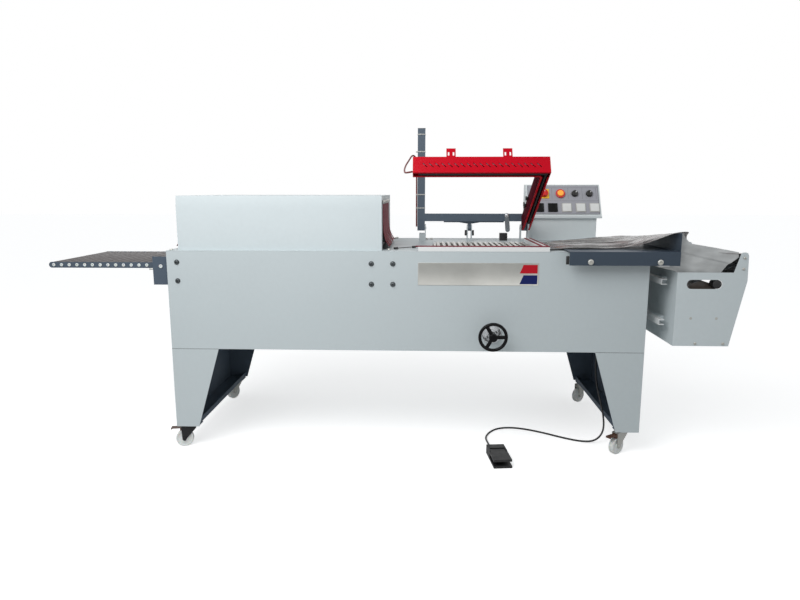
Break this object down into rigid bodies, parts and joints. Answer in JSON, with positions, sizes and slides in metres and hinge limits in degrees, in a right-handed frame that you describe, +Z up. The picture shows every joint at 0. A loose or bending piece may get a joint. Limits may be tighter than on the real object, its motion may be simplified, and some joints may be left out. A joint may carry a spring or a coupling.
{
  "type": "l bar sealer",
  "caption": "L-bar film sealer and shrink tunnel on one castered body: tilting red sealing head, slatted bed, film carriage, control console, exit roller tray and foot pedal.",
  "frame": {"origin": "on the floor, under the middle of the whole machine's plan (exit tray tip to film carriage, handwheel to rear wall), with the foot pedal's cord left out", "axes": "+X along the machine from the exit tray to the film carriage, -Y towards the operator, +Z up"},
  "size_m": [3.126, 0.9913, 1.526],
  "materials": {
    "panel_grey": "light grey powder coat, satin",
    "navy_paint": "dark blue-grey paint, satin",
    "red_cover": "bright red gloss paint",
    "black_paint": "black satin paint",
    "dark_red_silicone": "dark red silicone, matt",
    "nylon_white": "white nylon, semi-gloss",
    "roller_brown": "dark grey-brown plastic, satin",
    "zinc": "zinc plated, satin",
    "aluminium_bar": "bare aluminium, satin",
    "slat_metal": "anodised slats, satin",
    "black_plastic": "black moulded plastic",
    "black_gloss": "black bakelite, gloss",
    "console_grey": "mid grey paint, satin",
    "lamp_amber": "amber lens, gloss",
    "switch_red": "red moulded knob",
    "slate_paint": "slate blue paint, satin",
    "switch_white": "white switch cap, gloss",
    "belt_mesh": "woven wire belt",
    "motor_paint": "dark grey paint",
    "film_clear": "clear shrink film",
    "cable_black": "black cable sheath",
    "galvanised": "galvanised sheet",
    "brake_brown": "dark brown plastic"
  },
  "bodies": {
    "base": {"blower_motor": "motor_paint", "body_shell": "panel_grey", "cable_glands": "black_plastic", "carriage_rails": "zinc", "console_face": "console_grey", "console_housing": "panel_grey", "exit_tray_brackets": "navy_paint", "front_panel": "panel_grey", "hinge_posts": "panel_grey", "leg_frames": "navy_paint", "leg_skins": "panel_grey", "lift_gearbox": "motor_paint", "limit_switch": "black_plastic", "lower_jaw": "aluminium_bar", "lower_jaw_pads": "dark_red_silicone", "pedal_base": "black_plastic", "pedal_cord": "cable_black", "table_top": "panel_grey", "tunnel_belt": "belt_mesh", "tunnel_curtains": "dark_red_silicone", "tunnel_heaters": "galvanised", "tunnel_hood": "panel_grey"},
    "head": {"head_frame": "slate_paint", "head_cover": "red_cover", "upper_seal_bar": "black_paint", "cam_lever": "zinc", "mast_cable": "cable_black"},
    "bed": {"lift_bed": "slat_metal"},
    "handwheel": {"handwheel": "black_gloss"},
    "film_tray": {"film_tray": "slate_paint", "film_web": "film_clear"},
    "carriage": {"film_carriage": "panel_grey"},
    "film_roll": {"film_roll": "film_clear"},
    "cradle_left": {"cradle_roller_left": "zinc"},
    "cradle_right": {"cradle_roller_right": "zinc"},
    "guide_upper": {"guide_roller_upper": "aluminium_bar"},
    "guide_lower": {"guide_roller_lower": "aluminium_bar"},
    "blower": {"blower_wheel": "galvanised"},
    "drive_roller": {"drive_roller": "zinc"},
    "idler_roller": {"idler_roller": "zinc"},
    "exit_tray": {"exit_tray_frame": "navy_paint", "exit_rollers": "roller_brown"},
    "main_switch": {"main_switch": "switch_red"},
    "lamp_button": {"lamp_button": "lamp_amber"},
    "speed_dial": {"speed_dial": "black_plastic"},
    "heat_dial": {"heat_dial": "black_plastic"},
    "push_switch_left": {"push_switch_left": "switch_white"},
    "push_switch_middle": {"push_switch_middle": "switch_white"},
    "push_switch_right": {"push_switch_right": "switch_white"},
    "treadle": {"pedal_treadle": "black_plastic"},
    "fork_front_left": {"caster_fork_front_left": "black_paint"},
    "wheel_front_left": {"caster_wheel_front_left": "nylon_white"},
    "brake_front_left": {"caster_brake_front_left": "brake_brown"},
    "fork_front_right": {"caster_fork_front_right": "zinc"},
    "wheel_front_right": {"caster_wheel_front_right": "nylon_white"},
    "brake_front_right": {"caster_brake_front_right": "brake_brown"},
    "fork_rear_left": {"caster_fork_rear_left": "zinc"},
    "wheel_rear_left": {"caster_wheel_rear_left": "nylon_white"},
    "fork_rear_right": {"caster_fork_rear_right": "zinc"},
    "wheel_rear_right": {"caster_wheel_rear_right": "nylon_white"}
  },
  "joints": [
    {"name": "head_tilt", "type": "hinge", "parent": "base", "child": "head", "pos_m": [0.413, 0.275, 1.005], "axis": [1, 0, 0], "range_deg": [0, 29], "stiffness_Nm_per_rad": 60, "springref_deg": -108.86},
    {"name": "handwheel_turn", "type": "hinge", "parent": "base", "child": "handwheel", "pos_m": [0.475, -0.437, 0.568], "axis": [0, 1, 0], "range_deg": [0, 1080]},
    {"name": "bed_lift", "type": "slide", "parent": "base", "child": "bed", "axis": [0, 0, 1], "range_m": [-0.06, 0]},
    {"name": "carriage_slide", "type": "slide", "parent": "base", "child": "carriage", "axis": [0, 1, 0], "range_m": [-0.08, 0.05]},
    {"name": "film_tray_slide", "type": "slide", "parent": "base", "child": "film_tray", "axis": [0, 1, 0], "range_m": [-0.08, 0.05]},
    {"name": "film_roll_spin", "type": "hinge", "parent": "carriage", "child": "film_roll", "pos_m": [1.39, -0.125, 0.732], "axis": [0, 1, 0], "continuous": true},
    {"name": "cradle_spin_left", "type": "hinge", "parent": "carriage", "child": "cradle_left", "pos_m": [1.335, -0.125, 0.65295], "axis": [0, 1, 0], "continuous": true},
    {"name": "cradle_spin_right", "type": "hinge", "parent": "carriage", "child": "cradle_right", "pos_m": [1.445, -0.125, 0.65295], "axis": [0, 1, 0], "continuous": true},
    {"name": "guide_spin_upper", "type": "hinge", "parent": "carriage", "child": "guide_upper", "pos_m": [1.542, -0.125, 0.918], "axis": [0, 1, 0], "continuous": true},
    {"name": "guide_spin_lower", "type": "hinge", "parent": "carriage", "child": "guide_lower", "pos_m": [1.541, -0.125, 0.871], "axis": [0, 1, 0], "continuous": true},
    {"name": "blower_spin", "type": "hinge", "parent": "base", "child": "blower", "pos_m": [-0.485, 0.366, 1.062], "axis": [0, 1, 0], "continuous": true},
    {"name": "drive_roller_spin", "type": "hinge", "parent": "base", "child": "drive_roller", "pos_m": [-0.93, -0.035, 0.921], "axis": [0, 1, 0], "continuous": true},
    {"name": "idler_roller_spin", "type": "hinge", "parent": "base", "child": "idler_roller", "pos_m": [-0.06, -0.035, 0.921], "axis": [0, 1, 0], "continuous": true},
    {"name": "exit_tray_fold", "type": "hinge", "parent": "base", "child": "exit_tray", "pos_m": [-1.027, -0.055, 0.864], "axis": [0, 1, 0], "range_deg": [0, 90]},
    {"name": "main_switch_turn", "type": "hinge", "parent": "base", "child": "main_switch", "pos_m": [0.821, 0.36905, 1.1845], "axis": [0, -0.8789, 0.477], "range_deg": [-90, 0]},
    {"name": "speed_dial_turn", "type": "hinge", "parent": "base", "child": "speed_dial", "pos_m": [0.988, 0.36905, 1.1845], "axis": [0, -0.8789, 0.477], "range_deg": [-135, 135]},
    {"name": "heat_dial_turn", "type": "hinge", "parent": "base", "child": "heat_dial", "pos_m": [1.066, 0.36905, 1.1845], "axis": [0, -0.8789, 0.477], "range_deg": [-135, 135]},
    {"name": "lamp_button_press", "type": "slide", "parent": "base", "child": "lamp_button", "axis": [0, -0.8789, 0.477], "range_m": [-0.004, 0], "stiffness_N_per_m": 800, "springref_m": 0.002},
    {"name": "push_switch_left_press", "type": "slide", "parent": "base", "child": "push_switch_left", "axis": [0, -0.8789, 0.477], "range_m": [-0.003, 0], "stiffness_N_per_m": 800, "springref_m": 0.002},
    {"name": "push_switch_middle_press", "type": "slide", "parent": "base", "child": "push_switch_middle", "axis": [0, -0.8789, 0.477], "range_m": [-0.003, 0], "stiffness_N_per_m": 800, "springref_m": 0.002},
    {"name": "push_switch_right_press", "type": "slide", "parent": "base", "child": "push_switch_right", "axis": [0, -0.8789, 0.477], "range_m": [-0.003, 0], "stiffness_N_per_m": 800, "springref_m": 0.002},
    {"name": "caster_swivel_front_left", "type": "hinge", "parent": "base", "child": "fork_front_left", "pos_m": [-0.927, -0.325, 0.1047], "axis": [0, 0, 1], "continuous": true},
    {"name": "caster_roll_front_left", "type": "hinge", "parent": "fork_front_left", "child": "wheel_front_left", "pos_m": [-0.96639, -0.33195, 0.04], "axis": [0.1736, -0.9848, 0], "continuous": true},
    {"name": "caster_brake_press_front_left", "type": "hinge", "parent": "fork_front_left", "child": "brake_front_left", "pos_m": [-0.97033, -0.33264, 0.09], "axis": [0.1736, -0.9848, 0], "range_deg": [0, 8]},
    {"name": "caster_swivel_front_right", "type": "hinge", "parent": "base", "child": "fork_front_right", "pos_m": [1.097, -0.325, 0.1047], "axis": [0, 0, 1], "continuous": true},
    {"name": "caster_roll_front_right", "type": "hinge", "parent": "fork_front_right", "child": "wheel_front_right", "pos_m": [1.06464, -0.34851, 0.04], "axis": [0.5878, -0.809, 0], "continuous": true},
    {"name": "caster_brake_press_front_right", "type": "hinge", "parent": "fork_front_right", "child": "brake_front_right", "pos_m": [1.0614, -0.35086, 0.09], "axis": [0.5878, -0.809, 0], "range_deg": [0, 8]},
    {"name": "caster_swivel_rear_left", "type": "hinge", "parent": "base", "child": "fork_rear_left", "pos_m": [-0.927, 0.41, 0.1047], "axis": [0, 0, 1], "continuous": true},
    {"name": "caster_roll_rear_left", "type": "hinge", "parent": "fork_rear_left", "child": "wheel_rear_left", "pos_m": [-0.947, 0.37536, 0.04], "axis": [0.866, -0.5, 0], "continuous": true},
    {"name": "caster_swivel_rear_right", "type": "hinge", "parent": "base", "child": "fork_rear_right", "pos_m": [1.097, 0.41, 0.1047], "axis": [0, 0, 1], "continuous": true},
    {"name": "caster_roll_rear_right", "type": "hinge", "parent": "fork_rear_right", "child": "wheel_rear_right", "pos_m": [1.06548, 0.38537, 0.04], "axis": [0.6157, -0.788, 0], "continuous": true},
    {"name": "treadle_press", "type": "hinge", "parent": "base", "child": "treadle", "pos_m": [0.51075, -0.4157, 0.032], "axis": [0.9945, 0.1045, 0], "range_deg": [0, 7], "stiffness_Nm_per_rad": 6, "springref_deg": -20.05}
  ],
  "couplings": [
    {"joint": "handwheel_turn", "follows": "bed_lift", "rad_per_m": -314.16},
    {"joint": "film_tray_slide", "follows": "carriage_slide", "ratio": 1},
    {"joint": "cradle_spin_left", "follows": "film_roll_spin", "ratio": -4.3333},
    {"joint": "cradle_spin_right", "follows": "film_roll_spin", "ratio": -4.3333},
    {"joint": "idler_roller_spin", "follows": "drive_roller_spin", "ratio": 1}
  ]
}
